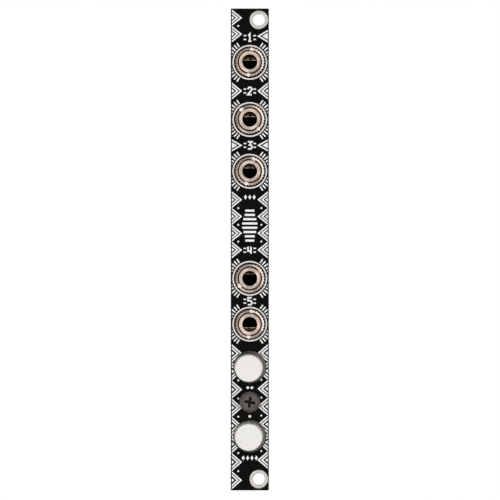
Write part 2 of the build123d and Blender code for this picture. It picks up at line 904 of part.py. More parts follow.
# Resistors
def make_resistors():
    with BuildPart() as resistors:
        with BuildSketch(layer(board_rear)):
            with Locations(*board_pairs(resistor_drops)):
                Rectangle(small_length, small_width)
        extrude(amount=resistor_thickness)
        chamfer(resistors.faces().group_by(Axis.Y)[-1].edges(), length=small_edge)
    resistors.part.label = "resistors"
    export_step(resistors.part, "parts/resistors.step")


# Ceramic capacitors
def make_ceramic_capacitors():
    with BuildPart() as ceramic_capacitors:
        with BuildSketch(layer(board_rear)):
            with Locations(*board_pairs(capacitor_drops)):
                Rectangle(small_length, small_width)
        extrude(amount=capacitor_thickness)
        fillet(ceramic_capacitors.faces().group_by(Axis.Y)[-1].edges(), radius=small_edge)
    ceramic_capacitors.part.label = "ceramic_capacitors"
    export_step(ceramic_capacitors.part, "parts/ceramic_capacitors.step")


# Electrolytic capacitors: round cans with a crimp, each on a square base
def make_electrolytic_capacitors():
    radius = electrolytic_diameter / 2
    base_top = board_rear + electrolytic_base_height
    top = board_rear + electrolytic_height
    crimp = base_top + crimp_height
    with BuildPart() as electrolytic_capacitors:
        for drop in electrolytic_drops:
            place = towards_rear(drop, 0)
            with BuildSketch(Plane(origin=place.origin, x_dir=(1, 0, 0), z_dir=(0, 0, 1))):
                with BuildLine():
                    Polyline(
                        (0, top),
                        (0, base_top),
                        (radius, base_top),
                        (radius, crimp - crimp_radius),
                        (radius - crimp_depth, crimp),
                        (radius, crimp + crimp_radius),
                        (radius, top - can_edge_radius),
                    )
                    CenterArc((radius - can_edge_radius, top - can_edge_radius), can_edge_radius, 0, 90)
                    Line((radius - can_edge_radius, top), (0, top))
                make_face()
            revolve(axis=Axis(place.origin, (0, 1, 0)))
            with BuildSketch(place.offset(board_rear)) as base:
                Rectangle(electrolytic_base, electrolytic_base)
                chamfer(base.vertices().group_by(Axis.Z)[0], length=electrolytic_corner)
            extrude(amount=electrolytic_base_height)
    electrolytic_capacitors.part.label = "electrolytic_capacitors"
    export_step(electrolytic_capacitors.part, "parts/electrolytic_capacitors.step")


# Protection diodes, one on each side of the board
def make_protection_diodes():
    places = board_pairs([diode_drop])
    with BuildPart() as protection_diodes:
        with BuildSketch(layer(board_rear)):
            with Locations(*places):
                Rectangle(diode_length, diode_width)
        extrude(amount=diode_thickness)
        chamfer(protection_diodes.faces().group_by(Axis.Y)[-1].edges(), length=diode_edge)
        with BuildSketch(layer(board_rear)):
            with Locations(*places):
                Rectangle(diode_length + 2 * diode_tab, diode_tab_width)
        extrude(amount=diode_tab_thickness)
    protection_diodes.part.label = "protection_diodes"
    export_step(protection_diodes.part, "parts/protection_diodes.step")


# Cones of solder round alike pins, each on the board's face that its pin comes out of
def solder_cones(places, hole, wide, deep):
    with Locations(*places):
        Cone(
            bottom_radius=hole / 2 + solder_land,
            top_radius=(wide**2 + deep**2) ** 0.5 / 2 + solder_collar,
            height=solder_height,
            align=(Align.CENTER, Align.CENTER, Align.MIN),
        )
    with Locations(*places):
        Box(wide, deep, 2 * solder_height, mode=Mode.SUBTRACT)


# Solder round every pin that goes through the board
def make_solder_joints():
    jacks = [jack_frame(drop, tip_up).offset(board_rear) for drop, tip_up in zip(jack_drops, tip_end_up)]
    buttons = [towards_rear(drop, board_rear, button_shift) for drop in button_drops]
    header = towards_front(header_drop, board_front)
    with BuildPart() as solder_joints:
        for across, along, wide, deep in jack_pins():
            pins = [jack.location * Location((across, along, 0)) for jack in jacks]
            solder_cones(pins, jack_hole, wide, deep)
        blades = [button.location * Location((x, y, 0)) for button in buttons for x, y in button_blades()]
        solder_cones(blades, blade_hole, finger_width, bridge_thickness)
        leads = [button.location * Location((x, y, 0)) for button in buttons for x, y in led_leads()]
        solder_cones(leads, led_hole, led_lead, led_lead)
        pins = [header.location * Location((x, y, 0)) for x, y in header_places()]
        solder_cones(pins, header_hole, header_pin, header_pin)
    solder_joints.part.label = "solder_joints"
    export_step(solder_joints.part, "parts/solder_joints.step")


make_front_panel()
make_rack_hole_rings()
for number, (drop, tip_up) in enumerate(zip(jack_drops, tip_end_up), start=1):
    frame = jack_frame(drop, tip_up)
    make_jack_housing(number, frame)
    make_jack_bushing(number, frame)
    make_jack_tip_terminal(number, frame)
    make_jack_tip_spring(number, frame)
    make_jack_switch_contact(number, frame)
    make_jack_sleeve_contact(number, frame)
make_jack_nuts()
for number, drop in enumerate(button_drops, start=1):
    make_button_cap(number, drop)
    make_button_plunger(number, drop)
    make_button_housing(number, drop)
    make_button_base(number, drop)
    make_button_spring(number, drop)
    make_button_terminals(number, drop)
    make_button_bridge(number, drop)
    make_button_light(number, drop)
make_main_board()
make_standoff()
make_standoff_screws()
make_power_header_block()
make_power_header_pins()
make_op_amps()
make_resistors()
make_ceramic_capacitors()
make_electrolytic_capacitors()
make_protection_diodes()
make_solder_joints()
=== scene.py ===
"""The looks of a narrow rack synthesizer module: finishes, printed panel and board, studio and camera."""
from math import cos, pi, radians, sin, tau

import bmesh
import bpy
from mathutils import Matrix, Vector
from mathutils.geometry import delaunay_2d_cdt


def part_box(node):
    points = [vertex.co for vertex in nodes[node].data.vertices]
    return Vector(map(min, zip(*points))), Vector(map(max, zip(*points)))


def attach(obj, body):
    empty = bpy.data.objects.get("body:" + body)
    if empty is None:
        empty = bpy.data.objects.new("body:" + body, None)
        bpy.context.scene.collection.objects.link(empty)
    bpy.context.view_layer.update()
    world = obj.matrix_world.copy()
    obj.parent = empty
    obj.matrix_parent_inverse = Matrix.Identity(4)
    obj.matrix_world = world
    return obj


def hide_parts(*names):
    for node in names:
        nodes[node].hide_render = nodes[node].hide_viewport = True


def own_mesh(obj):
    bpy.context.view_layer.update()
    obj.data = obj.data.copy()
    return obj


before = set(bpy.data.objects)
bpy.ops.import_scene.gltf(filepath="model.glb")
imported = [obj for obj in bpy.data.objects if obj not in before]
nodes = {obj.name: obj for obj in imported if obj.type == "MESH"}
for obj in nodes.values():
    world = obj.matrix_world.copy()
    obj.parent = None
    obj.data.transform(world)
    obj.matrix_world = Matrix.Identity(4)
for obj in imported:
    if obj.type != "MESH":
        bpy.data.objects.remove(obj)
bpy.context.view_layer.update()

mm = 0.001
jacks = (1, 2, 3, 4, 5)
buttons = (1, 2)

# Camera: straight in front of the panel, as far away as the photograph's flat perspective asks
camera_distance = 900 * mm
camera_right = 0.053 * mm
camera_rise = -0.147 * mm
camera_clip = 10 * mm
sensor_width = 36.0
frame_width = 133.33 * mm

# Printed lines, in millimetres
line_width = 0.36
print_margin = 0.3
print_height = 0.03
print_sink = 0.01
print_clearance = 0.12

# Bands of nested chevrons down both edges
band_pitch = 4.7
band_reach = 2.75
band_end_gap = 0.25
chevron_gap = 0.8
core_reach = 0.95
core_height = 1.5
stud_in = 2.0
stud_size = 0.62

# Ring with rays round each jack
ring_radius = 4.45
ring_points = 72
ray_start = 4.95
ray_end = 6.2
ray_degrees = (34, 42.5, 51, 59.5, 68)
jack_zone = 5.35

# Numerals above the jacks, each between two pairs of bars
label_drops = (7.75, 22.0, 36.5, 64.45, 78.06)
label_height = 1.9
label_width = 1.05
label_line = 0.42
label_bar_start = 0.95
label_bar_end = 1.65
label_bar_rise = 0.5
label_bar_width = 0.34

# Numerals as straight strokes in a box one wide and two high, measured from its lower left corner
digit_strokes = {
    1: [[(0.12, 1.5), (0.5, 2), (0.5, 0)], [(0.1, 0), (0.9, 0)]],
    2: [[(0, 1.5), (0.25, 2), (0.75, 2), (1, 1.7), (1, 1.35), (0, 0), (1, 0)]],
    3: [[(0, 2), (1, 2), (0.45, 1.15), (0.75, 1.15), (1, 0.85), (1, 0.3), (0.75, 0), (0, 0)]],
    4: [[(0.8, 0), (0.8, 2)], [(0.05, 2), (0.05, 0.75), (1, 0.75)]],
    5: [[(1, 2), (0.05, 2), (0.05, 1.15), (0.7, 1.15), (1, 0.85), (1, 0.3), (0.7, 0), (0, 0)]],
}

# Studs under the third jack and the lower button, dots above and below the screw, bars in the middle
stud_row_drops = (50.3, 119.85)
stud_row_counts = (3, 4)
stud_row_pitch = 1.15
stud_row_height = 1.35
stud_row_width = 0.8
dot_drops = (101.1, 108.75)
dot_counts = (2, 1)
dot_pitch = 1.1
dot_radius = 0.36
meter_top = 53.9
meter_pitch = 1.14
meter_bars = 8
meter_bar_width = 0.56
meter_half_width = 2.05
meter_swing = 0.85
meter_wave = 0.92

# Holes in the panel round the caps, as the part has them
cap_hole = 4.3
cap_hole_rises = (0.1, 0.25)

# Print, traces and vias on the board's rear
board_line = 0.16
board_margin = 0.2
outline_gap = 0.3
small_gap = 0.175
mark_radius = 0.28
header_mark = 0.55
land_radius = 1.0
trace_width = 0.24
trace_height = 0.015
via_radius = 0.32
via_bore = 0.14
via_height = 0.024

# Lanes for the traces, and which way and into which lane each lead down one side of an op-amp goes
lane_start = 3.5
lane_pitch = 0.42
inner_lane = 0.55
chip_lanes = 2
lead_ways = (-1, -1, 1, 1)
lead_lanes = (0, 1, 1, 0)

# Sizes in the part that a finish goes by
small_column = 2.2
resistor_end = 0.68
capacitor_end = 0.66
diode_body_end = 1.35
cathode_out = 0.95
cathode_half = 0.16
chip_body_half = 1.95
dimple_in = 0.75
dimple_drop = 0.8
dimple_radius = 0.3
can_base = 0.8
can_base_edge = 0.01
can_mark_out = 1.25
can_mark_depth = 0.05
# Radii from which the bore's plating is rougher and darkened as painted shade
bore_rim = 2.0
bore_shade_full = 1.95
# Radius and half width of the ring of painted shade in the crease between the bushing's thread and the nut
thread_ring = 3.06
thread_ring_half = 0.25
notch_floor_depth = -2.9
notch_floor_half = 0.06
recess_lip = 0.42
recess_reach = 1.55
ridge_depth = 7.75
ridge_half = 0.3
slope_reach = 1.2

# Dome of tin on a rack hole's ring, as shares of the ring's outer radius, and its height in millimetres
dome_middle_share = 0.82
dome_half_share = 0.16
dome_height = 0.09

# Corners this close count as one: decimal places of a metre in the part, and millimetres on a printed sheet
weld_digits = 7
merge_distance = 1e-5

# Sort of triangulation: only what lies inside an outline
inside_only = 1

# Places, read from the frame
panel_low, panel_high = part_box("front_panel")
board_low, board_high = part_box("main_board")
centre_x = (panel_low.x + panel_high.x) / 2
panel_half = (panel_high.x - panel_low.x) / 2 / mm
panel_length = (panel_high.z - panel_low.z) / mm


def of_each(numbers, stem, *kinds):
    """The names of some kinds of node on each of the jacks or buttons."""
    return [f"{stem}_{number}_{kind}" for number in numbers for kind in kinds]


def middle(node):
    """The middle of a node's box."""
    low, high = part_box(node)
    return (low + high) / 2


def on_sheet(place):
    """A place in the frame, in millimetres across from the panel's middle and down from its top edge."""
    return Vector(((place.x - centre_x) / mm, (panel_high.z - place.z) / mm))


def solids(node):
    """The lowest and highest corner of each separate solid of a node, from the top down."""
    data = nodes[node].data
    keys = [tuple(round(value, weld_digits) for value in vertex.co) for vertex in data.vertices]
    group = {key: key for key in keys}

    def leader(key):
        while group[key] != key:
            group[key] = group[group[key]]
            key = group[key]
        return key

    for face in data.polygons:
        first = leader(keys[face.vertices[0]])
        for index in face.vertices[1:]:
            group[leader(keys[index])] = first
    boxes = {}
    for key in group:
        low, high = boxes.setdefault(leader(key), (list(key), list(key)))
        for axis, value in enumerate(key):
            low[axis] = min(low[axis], value)
            high[axis] = max(high[axis], value)
    found = [(Vector(low), Vector(high)) for low, high in boxes.values()]
    return sorted(found, key=lambda box: (-box[0].z, box[0].x))


def seats(node):
    """Where each solid of a node sits on the sheet, with its width and height."""
    rows = []
    for low, high in solids(node):
        size = (high - low) / mm
        rows.append((on_sheet((low + high) / 2), size.x, size.z))
    return rows


def new_object(name, data):
    made = bpy.data.objects.new(name, data)
    bpy.context.scene.collection.objects.link(made)
    return made


jack_axes = [middle(name) for name in of_each(jacks, "jack", "bushing")]
jack_places = [on_sheet(axis) for axis in jack_axes]
cap_places = [on_sheet(middle(name)) for name in of_each(buttons, "button", "cap")]
screw_axis = [middle("standoff_screws")]


# Outlines on a printed sheet, as lists of points
def round_outline(centre, radius, points=ring_points):
    steps = [tau * step / points for step in range(points)]
    return [centre + radius * Vector((cos(step), sin(step))) for step in steps]


def diamond(centre, wide, high):
    steps = ((wide / 2, 0), (0, high / 2), (-wide / 2, 0), (0, -high / 2))
    return [centre + Vector(step) for step in steps]


def rectangle(centre, wide, high):
    corners = ((-1, -1), (1, -1), (1, 1), (-1, 1))
    return [centre + Vector((x * wide / 2, y * high / 2)) for x, y in corners]


def side_step(path, index, closed):
    """The sideways step of a line one unit wide at a point of its path, where its runs meet in a mitre."""
    ways = []
    if closed or index > 0:
        ways.append((path[index] - path[index - 1]).normalized())
    if closed or index < len(path) - 1:
        ways.append((path[(index + 1) % len(path)] - path[index]).normalized())
    normals = [Vector((-way.y, way.x)) for way in ways]
    mitre = sum(normals, Vector((0, 0))).normalized()
    return mitre / (2 * mitre.dot(normals[0]))


def stroke(path, width=line_width, closed=False):
    """A line of even width along a path, as one outline for each straight run."""
    path = [Vector(point) for point in path]
    steps = [side_step(path, index, closed) * width for index in range(len(path))]
    runs = len(path) if closed else len(path) - 1
    outlines = []
    for index in range(runs):
        after = (index + 1) % len(path)
        start, end = path[index], path[after]
        aside, ahead = steps[index], steps[after]
        outlines.append([start + aside, start - aside, end - ahead, end + ahead])
    return outlines


def sheet_layer(name, sheet, inked, bare, depth, outwards, height=print_height):
    """A thin raised layer: what lies inside the sheet and an inked outline, and inside no bare one."""
    points = []
    faces = []
    for outline in [sheet, *inked, *bare]:
        area = sum(a.x * b.y - b.x * a.y for a, b in zip(outline, outline[1:] + outline[:1]))
        ordered = outline if area > 0 else outline[::-1]
        faces.append(list(range(len(points), len(points) + len(ordered))))
        points.extend(ordered)
    found = delaunay_2d_cdt(points, [], faces, inside_only, merge_distance, True)
    corners, _, triangles, _, _, origins = found
    bare_from = 1 + len(inked)

    def kept(inside):
        printed = any(0 < face < bare_from for face in inside)
        return 0 in inside and printed and all(face < bare_from for face in inside)

    mesh = bmesh.new()
    layers = []
    for level in (depth + outwards * height * mm, depth - outwards * print_sink * mm):
        places = [(centre_x + corner.x * mm, level, panel_high.z - corner.y * mm) for corner in corners]
        layers.append([mesh.verts.new(place) for place in places])
    outer, inner = layers
    edges = {}
    for triangle in [triangle for triangle, inside in zip(triangles, origins) if kept(inside)]:
        mesh.faces.new([outer[index] for index in triangle])
        mesh.faces.new([inner[index] for index in reversed(triangle)])
        for start, end in zip(triangle, [*triangle[1:], triangle[0]]):
            edges.setdefault(frozenset((start, end)), []).append((start, end))
    for uses in edges.values():
        if len(uses) == 1:
            start, end = uses[0]
            mesh.faces.new((outer[start], inner[start], inner[end], outer[end]))
    loose = [vertex for vertex in mesh.verts if not vertex.link_faces]
    bmesh.ops.delete(mesh, geom=loose, context="VERTS")
    bmesh.ops.recalc_face_normals(mesh, faces=mesh.faces)
    data = bpy.data.meshes.new(name)
    mesh.to_mesh(data)
    mesh.free()
    return new_object(name, data)


# The panel's print
def edge_band(side, top, bottom):
    """Nested chevrons that point to the panel's middle, each round a solid core at the edge, with studs."""
    count = max(1, round((bottom - top) / band_pitch))
    pitch = (bottom - top) / count

    def inwards(distance):
        return side * (panel_half - distance)

    outlines = []
    for index in range(count):
        start = top + index * pitch
        centre = start + pitch / 2
        for inset in (0, chevron_gap):
            reach = band_reach * (1 - 2 * inset / pitch)
            upper, lower = start + inset, start + pitch - inset
            outlines += stroke([(inwards(0), upper), (inwards(reach), centre), (inwards(0), lower)])
        outlines.append(diamond(Vector((inwards(0), centre)), 2 * core_reach, core_height))
        if index > 0:
            outlines.append(diamond(Vector((inwards(stud_in), start)), stud_size, stud_size))
    return outlines


def jack_surround(place):
    """A ring round a jack, with a fan of rays in each of the four corners beside it."""
    outlines = stroke(round_outline(place, ring_radius), closed=True)
    for degrees in ray_degrees:
        for across in (-1, 1):
            for down in (-1, 1):
                way = Vector((across * sin(radians(degrees)), down * cos(radians(degrees))))
                outlines += stroke([place + ray_start * way, place + ray_end * way])
    return outlines


def numeral(number, drop):
    """A numeral on the panel's middle line, between two pairs of short bars."""
    outlines = []
    foot = drop + label_height / 2
    for path in digit_strokes[number]:
        points = [((x - 0.5) * label_width, foot - y * label_height / 2) for x, y in path]
        outlines += stroke(points, label_line)
    for side in (-1, 1):
        for rise in (-label_bar_rise, label_bar_rise):
            ends = [(side * label_bar_start, drop + rise), (side * label_bar_end, drop + rise)]
            outlines += stroke(ends, label_bar_width)
    return outlines


def meter():
    """A stack of bars whose lengths swell and shrink."""
    outlines = []
    for bar in range(meter_bars):
        half = meter_half_width - meter_swing * (1 + cos(meter_wave * bar)) / 2
        drop = meter_top + bar * meter_pitch
        outlines += stroke([(-half, drop), (half, drop)], meter_bar_width)
    return outlines


def free_stretches(top, bottom):
    """The stretches between the jacks' surrounds where a band has room."""
    edges = [top]
    for place in sorted(jack_places, key=lambda place: place.y):
        edges += [place.y - jack_zone, place.y + jack_zone]
    edges.append(bottom)
    pairs = zip(edges[::2], edges[1::2])
    return [(start, end) for start, end in pairs if end - start > band_pitch / 2]


def row_of(count, pitch):
    """Places across for a row with its middle on the panel's middle."""
    return [(step - (count - 1) / 2) * pitch for step in range(count)]


def make_panel_print():
    ring_low, ring_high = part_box("rack_hole_rings")
    rim = (ring_high.x - ring_low.x) / 2 / mm
    rack_zone = 2 * rim + (panel_high.z - ring_high.z) / mm + band_end_gap
    inked = []
    for start, end in free_stretches(print_margin, panel_length - print_margin):
        inked += edge_band(-1, start, end)
    for start, end in free_stretches(rack_zone, panel_length - rack_zone):
        inked += edge_band(1, start, end)
    for place in jack_places:
        inked += jack_surround(place)
    for number, drop in zip(jacks, label_drops):
        inked += numeral(number, drop)
    for drop, count in zip(stud_row_drops, stud_row_counts):
        for across in row_of(count, stud_row_pitch):
            inked.append(diamond(Vector((across, drop)), stud_row_width, stud_row_height))
    for drop, count in zip(dot_drops, dot_counts):
        for across in row_of(count, dot_pitch):
            inked.append(round_outline(Vector((across, drop)), dot_radius))
    inked += meter()
    rings = seats("rack_hole_rings")
    bare = [round_outline(place, wide / 2 + print_clearance) for place, wide, _ in rings]
    for place, rise in zip(cap_places, cap_hole_rises):
        bare.append(round_outline(Vector((0, place.y - rise)), cap_hole + print_clearance))
    screw, head, _ = seats("standoff_screws")[0]
    bare.append(round_outline(screw, head / 2 + print_clearance))
    wide, high = 2 * (panel_half - print_margin), panel_length - 2 * print_margin
    sheet = rectangle(Vector((0, panel_length / 2)), wide, high)
    return sheet_layer("panel_print", sheet, inked, bare, panel_low.y, -1)


# The board's rear: where pins come through, what is printed round each part, and the traces
def pin_places():
    """Every pin that comes out of the board's rear, from the ends of the pieces that carry them."""
    carriers = of_each(jacks, "jack", "tip_terminal", "switch_contact", "sleeve_contact")
    carriers += of_each(buttons, "button", "terminals", "light")
    places = []
    for name in carriers:
        data = nodes[name].data
        end = max(vertex.co.y for vertex in data.vertices)
        for vertex in data.vertices:
            place = on_sheet(vertex.co)
            near = any((place - other).length < land_radius for other in places)
            if end - vertex.co.y < print_height * mm and not near:
                places.append(place)
    return places


def brackets(place, wide, high, gap):
    """A short line above and below a small part."""
    outlines = []
    for side in (-1, 1):
        drop = place.y + side * (high / 2 + gap)
        outlines += stroke([(place.x - wide / 4, drop), (place.x + wide / 4, drop)], board_line)
    return outlines


def frame_round(place, wide, high):
    """A closed line round a large part."""
    corners = rectangle(place, wide + 2 * outline_gap, high + 2 * outline_gap)
    return stroke(corners, board_line, closed=True)


def board_outlines():
    """What is printed round the parts on the board's rear."""
    outlines = []
    for node in ("resistors", "ceramic_capacitors", "protection_diodes"):
        for place, wide, high in seats(node):
            outlines += brackets(place, wide, high, small_gap)
    for place, wide, high in seats("op_amps"):
        outlines += brackets(place, 2 * wide, high, outline_gap)
        corner = Vector((place.x + wide / 2, place.y - high / 2 - outline_gap))
        outlines.append(round_outline(corner, mark_radius))
    for place, wide, high in seats("electrolytic_capacitors"):
        outlines += frame_round(place, wide, high)
        bar = place.x + wide / 2 + outline_gap
        outlines += stroke([(bar, place.y - high / 4), (bar, place.y + high / 4)], 2 * board_line)
    for place, wide, high in seats("power_header_block"):
        outlines += frame_round(place, wide, high)
        across = place.x - wide / 2 - outline_gap - header_mark / 2
        foot = place.y + high / 2
        outlines += stroke([(across, foot - wide / 2), (across, foot)], header_mark)
    screw, wide, _ = seats("standoff_screws")[-1]
    outlines += stroke(round_outline(screw, wide / 2 + outline_gap), board_line, closed=True)
    return outlines


def lane(side, order):
    """How far across from the middle a lane for traces lies."""
    return side * (lane_start + order * lane_pitch)


def trace_paths():
    """Traces from the op-amps' leads into lanes beside them, and lines that join the small parts."""
    paths = []
    leads = len(lead_ways)
    for place, wide, high in seats("op_amps"):
        pitch = high / leads * (1 + small_gap / high)
        for side in (-1, 1):
            for row, (way, order) in enumerate(zip(lead_ways, lead_lanes)):
                across = lane(side, order)
                drop = place.y + (row - (leads - 1) / 2) * pitch
                far = place.y + way * (high / 2 + (chip_lanes - order) * wide / 4)
                paths.append([
                    Vector((side * wide / 2, drop)),
                    Vector((across, drop + way * (abs(across) - wide / 2))),
                    Vector((across, far)),
                    Vector((side * small_column, far + way * (abs(across) - small_column))),
                ])
    for node, reach in (("resistors", lane(1, chip_lanes)), ("ceramic_capacitors", inner_lane)):
        places = [place for place, _, _ in seats(node)]
        turn = abs(reach - small_column)
        for side in (-1, 1):
            drops = [place.y for place in places if side * place.x > 0]
            for start, end in zip(drops, drops[1:]):
                if end - start > 2 * turn:
                    paths.append([
                        Vector((side * small_column, start)),
                        Vector((side * reach, start + turn)),
                        Vector((side * reach, end - turn)),
                        Vector((side * small_column, end)),
                    ])
    return paths


def make_board_layers():
    """The board's print, its traces and its plated vias."""
    lands = [round_outline(place, land_radius + print_clearance) for place in pin_places()]
    wide = (board_high.x - board_low.x) / mm - 2 * board_margin
    high = (board_high.z - board_low.z) / mm - 2 * board_margin
    sheet = rectangle(on_sheet((board_low + board_high) / 2), wide, high)
    paths = trace_paths()
    tracks = [outline for path in paths for outline in stroke(path, trace_width)]
    ends = [path[-1] for path in paths] + [path[0] for path in paths]
    vias = [place for place in ends if abs(place.x) < lane_start]
    drills = [round_outline(place, via_bore) for place in vias]
    rings = [round_outline(place, via_radius) for place in vias]
    rear = board_high.y
    ink = sheet_layer("board_print", sheet, board_outlines(), lands, rear, 1)
    copper = sheet_layer("board_traces", sheet, tracks, drills, rear, 1, trace_height)
    plated = sheet_layer("board_vias", sheet, rings, drills + lands, rear, 1, via_height)
    return ink, copper, plated


def colour(red, green, blue):
    return (red, green, blue, 1.0)


# Colours, in linear light
mask_black = colour(0.0022, 0.0017, 0.0015)
mask_green = colour(0.007, 0.048, 0.023)
mask_green_painted_shade = colour(0.003, 0.020, 0.010)
trace_green = colour(0.018, 0.125, 0.058)
fibre_dark = colour(0.050, 0.048, 0.034)
fibre_pale = colour(0.150, 0.140, 0.090)
ink_shade = colour(0.84, 0.835, 0.82)
ink_white = colour(0.93, 0.925, 0.915)
nickel_warm = colour(0.79, 0.65, 0.565)
bore_painted_shade = colour(0.050, 0.034, 0.022)
thread_painted_shade = colour(0.120, 0.072, 0.044)
notch_painted_highlight = colour(0.97, 0.88, 0.80)
hex_nickel = colour(0.72, 0.70, 0.66)
screw_black = colour(0.125, 0.108, 0.100)
recess_painted_shade = colour(0.012, 0.009, 0.008)
ring_tin = colour(0.57, 0.55, 0.52)
end_tin = colour(0.72, 0.71, 0.69)
strip_tin = colour(0.76, 0.74, 0.70)
strip_bronze = colour(0.80, 0.52, 0.26)
leaf_bronze_painted_shade = colour(0.085, 0.042, 0.018)
leaf_wear_and_sheen = colour(0.21, 0.155, 0.07)
leaf_painted_highlight = colour(0.97, 0.88, 0.66)
jack_black = colour(0.014, 0.013, 0.012)
cap_milk = colour(0.83, 0.815, 0.80)
plunger_pale = colour(0.70, 0.69, 0.66)
housing_olive = colour(0.30, 0.285, 0.215)
base_black = colour(0.020, 0.020, 0.019)
spring_grey = colour(0.62, 0.62, 0.62)
silver_pale = colour(0.82, 0.81, 0.78)
lens_milk = colour(0.80, 0.80, 0.76)
header_black = colour(0.016, 0.016, 0.016)
pin_gold = colour(0.90, 0.69, 0.31)
resin_black = colour(0.022, 0.022, 0.024)
dimple_black = colour(0.008, 0.008, 0.009)
cathode_grey = colour(0.42, 0.42, 0.40)
glaze_black = colour(0.016, 0.016, 0.017)
ceramic_brown = colour(0.42, 0.29, 0.18)
can_grey = colour(0.80, 0.80, 0.81)
can_mark_black = colour(0.012, 0.012, 0.014)
can_base_black = colour(0.014, 0.014, 0.014)
solder_grey = colour(0.78, 0.78, 0.77)
floor_grey = colour(0.86, 0.86, 0.86)
white = colour(1.0, 1.0, 1.0)

# A band's mask is whole within the first share of its half width, and gone beyond the second
band_edge_shares = (0.55, 1.25)

# A surface faces the front or the rear where its normal's part along the depth is past this
facing_limit = 0.5

# How much the coarse grooves of turned metal outweigh the fine ones
coarse_weight = 6.0

# Sockets of a Mix node: its factor and its two colours, and its colour result
mix_inputs = (0, 6, 7)
mix_result = 2


# Materials
def new_material(name):
    made = bpy.data.materials.new(name)
    made.use_nodes = True
    return made, made.node_tree, made.node_tree.nodes["Principled BSDF"]


def add_node(tree, kind, links=(), **values):
    """A node with its named values set, and each link or number put in the input of that name or number."""
    made = tree.nodes.new(kind)
    for name, value in values.items():
        setattr(made, name, value)
    for key, source in dict(links).items():
        socket = made.inputs[key]
        if isinstance(source, bpy.types.NodeSocket):
            tree.links.new(source, socket)
        else:
            socket.default_value = source
    return made


def maths(tree, operation, *values):
    return add_node(tree, "ShaderNodeMath", dict(enumerate(values)), operation=operation).outputs[0]


def place_on(tree):
    """A point's place on its piece, in metres, which moves with the piece."""
    return add_node(tree, "ShaderNodeTexCoord").outputs["Object"]


def along(tree, axis):
    """One part of a point's place on its piece, in metres."""
    return add_node(tree, "ShaderNodeSeparateXYZ", {0: place_on(tree)}).outputs[axis]


def facing(tree):
    """How far a surface faces along the depth: one at the rear, and minus one on the viewer's side."""
    normal = add_node(tree, "ShaderNodeNewGeometry").outputs["Normal"]
    return add_node(tree, "ShaderNodeSeparateXYZ", {0: normal}).outputs["Y"]


def noise(tree, scale, detail=3.0, stretch=(1, 1, 1)):
    """Soft unevenness between nought and one, scale times to the millimetre."""
    scales = [scale / mm * share for share in stretch]
    mapped = add_node(tree, "ShaderNodeMapping", {"Vector": place_on(tree), "Scale": scales})
    links = {"Vector": mapped.outputs[0], "Scale": 1.0, "Detail": detail}
    return add_node(tree, "ShaderNodeTexNoise", links).outputs["Fac"]


def spread(tree, source, low, high):
    """Nought to one turned into a range of numbers."""
    links = {"Value": source, "To Min": low, "To Max": high}
    return add_node(tree, "ShaderNodeMapRange", links).outputs["Result"]


def around(tree, source, value, below, above):
    """Nought to one turned into a range from somewhat below a value to somewhat above it."""
    return spread(tree, source, value - below, value + above)


def eased(tree, source, start, end, low=0.0, high=1.0):
    """A smooth change from one number to another between two values of the source."""
    links = {"Value": source, "From Min": start, "From Max": end, "To Min": low, "To Max": high}
    made = add_node(tree, "ShaderNodeMapRange", links, interpolation_type="SMOOTHSTEP")
    return made.outputs["Result"]


def distance(tree, source, centre):
    """How far a value lies from another, on either side."""
    return maths(tree, "ABSOLUTE", maths(tree, "SUBTRACT", source, centre))


def band(tree, source, centre, half):
    """One at the centre of a band, easing to nought just outside it."""
    whole, gone = [half * share for share in band_edge_shares]
    return eased(tree, distance(tree, source, centre), whole, gone, low=1.0, high=0.0)


def blend(tree, factor, first, second):
    """One colour where the factor is nought, and another where it is one."""
    links = dict(zip(mix_inputs, (factor, first, second)))
    return add_node(tree, "ShaderNodeMix", links, data_type="RGBA").outputs[mix_result]


def relief(tree, shader, height, depth):
    """Bumps whose full height is a depth in millimetres."""
    bump = add_node(tree, "ShaderNodeBump", {"Height": height, "Distance": depth * mm, "Strength": 1.0})
    tree.links.new(bump.outputs["Normal"], shader.inputs["Normal"])


def shaded(tint, share):
    """A colour made darker or lighter."""
    return colour(*[value * share for value in tint[:3]])


def over(made, mask, tint, metallic=None, roughness=None):
    """Lays a second finish over a material where the mask is one."""
    tree = made.node_tree
    shader = tree.nodes["Principled BSDF"]
    under = shader.inputs["Base Color"].links[0].from_socket
    tree.links.new(blend(tree, mask, under, tint), shader.inputs["Base Color"])
    for name, value in (("Metallic", metallic), ("Roughness", roughness)):
        socket = shader.inputs[name]
        if value is not None:
            below = socket.links[0].from_socket if socket.links else socket.default_value
            tree.links.new(spread(tree, mask, below, value), socket)
    return made


def solder_mask(name, mask, specular, roughness):
    """A printed circuit board: mask on both faces, and the glass fibre's layers on every cut edge."""
    made, tree, shader = new_material(name)
    edge = maths(tree, "LESS_THAN", maths(tree, "ABSOLUTE", facing(tree)), facing_limit)
    layers = noise(tree, scale=1.6, detail=2.0, stretch=(0.3, 6.0, 0.3))
    fibre = blend(tree, layers, fibre_dark, fibre_pale)
    face = blend(tree, noise(tree, scale=0.25), mask, shaded(mask, share=1.5))
    tree.links.new(blend(tree, edge, face, fibre), shader.inputs["Base Color"])
    rough = around(tree, noise(tree, scale=3.0), roughness, below=0.06, above=0.08)
    tree.links.new(rough, shader.inputs["Roughness"])
    shader.inputs["Specular IOR Level"].default_value = specular
    relief(tree, shader, noise(tree, scale=5.0, detail=4.0), depth=0.004)
    return made


def board_mask(name):
    """Green mask; on the side that faces the panel and shows at the bottom of the jacks it is matt, and
    darker as painted shade.
    """
    made = solder_mask(name, mask_green, specular=0.4, roughness=0.3)
    tree = made.node_tree
    # Painted shade: the face towards the panel, seen deep down the jacks, gets a darker green than the rear
    front = maths(tree, "LESS_THAN", facing(tree), -facing_limit)
    return over(made, front, mask_green_painted_shade, roughness=0.9)


